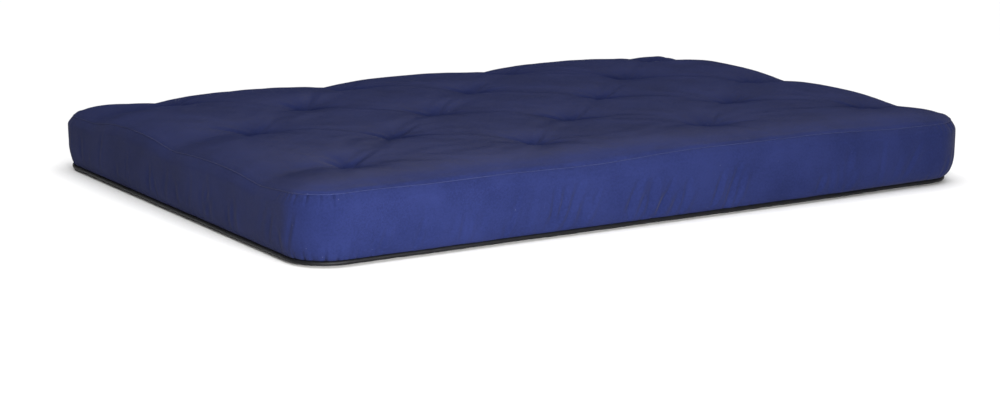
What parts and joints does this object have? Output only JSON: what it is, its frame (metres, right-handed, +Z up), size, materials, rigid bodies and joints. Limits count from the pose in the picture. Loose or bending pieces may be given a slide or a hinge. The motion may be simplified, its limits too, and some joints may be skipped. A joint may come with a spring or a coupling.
{
  "type": "futon mattress",
  "caption": "Tufted futon mattress with a boxed navy twill cover and black bottom welt; folds along its middle into a seat and back.",
  "frame": {"origin": "centre of the underside, on the surface that the mattress lies on", "axes": "+X along the length, +Y from the front (seat) edge to the back edge, +Z up through the tufted top"},
  "size_m": [1.905, 1.372, 0.195],
  "materials": {
    "navy_twill": "navy blue cotton-polyester twill, matt with a soft sheen",
    "black_underside": "plain dark woven ticking, matt",
    "black_welt": "black fabric-covered cord",
    "cotton_batting": "garnetted cotton and polyester felt",
    "foam": "open-cell polyurethane foam",
    "tuft_felt": "pressed navy wool felt",
    "tuft_twine": "waxed tufting twine"
  },
  "bodies": {
    "seat_half": {"seat_top_panel": "navy_twill", "seat_border": "navy_twill", "seat_bottom_panel": "black_underside", "seat_bottom_welt": "black_welt", "seat_upper_batting": "cotton_batting", "seat_foam_core": "foam", "seat_lower_batting": "cotton_batting", "seat_top_tuft_discs": "tuft_felt", "seat_bottom_tuft_discs": "tuft_felt", "seat_tuft_ties": "tuft_twine", "fold_top_tuft_discs": "tuft_felt", "fold_bottom_tuft_discs": "tuft_felt", "fold_tuft_ties": "tuft_twine"},
    "back_half": {"back_top_panel": "navy_twill", "back_border": "navy_twill", "back_bottom_panel": "black_underside", "back_bottom_welt": "black_welt", "back_upper_batting": "cotton_batting", "back_foam_core": "foam", "back_lower_batting": "cotton_batting", "back_top_tuft_discs": "tuft_felt", "back_bottom_tuft_discs": "tuft_felt", "back_tuft_ties": "tuft_twine"}
  },
  "joints": [
    {"name": "fold", "type": "hinge", "parent": "seat_half", "child": "back_half", "pos_m": [0, 0.02, 0], "axis": [1, 0, 0], "range_deg": [0, 75], "deforming": ["seat_top_panel", "seat_border", "seat_bottom_panel", "seat_bottom_welt", "seat_upper_batting", "seat_foam_core", "seat_lower_batting", "back_top_panel", "back_border", "back_bottom_panel", "back_bottom_welt", "back_upper_batting", "back_foam_core", "back_lower_batting", "fold_top_tuft_discs", "fold_tuft_ties", "fold_bottom_tuft_discs"]}
  ]
}
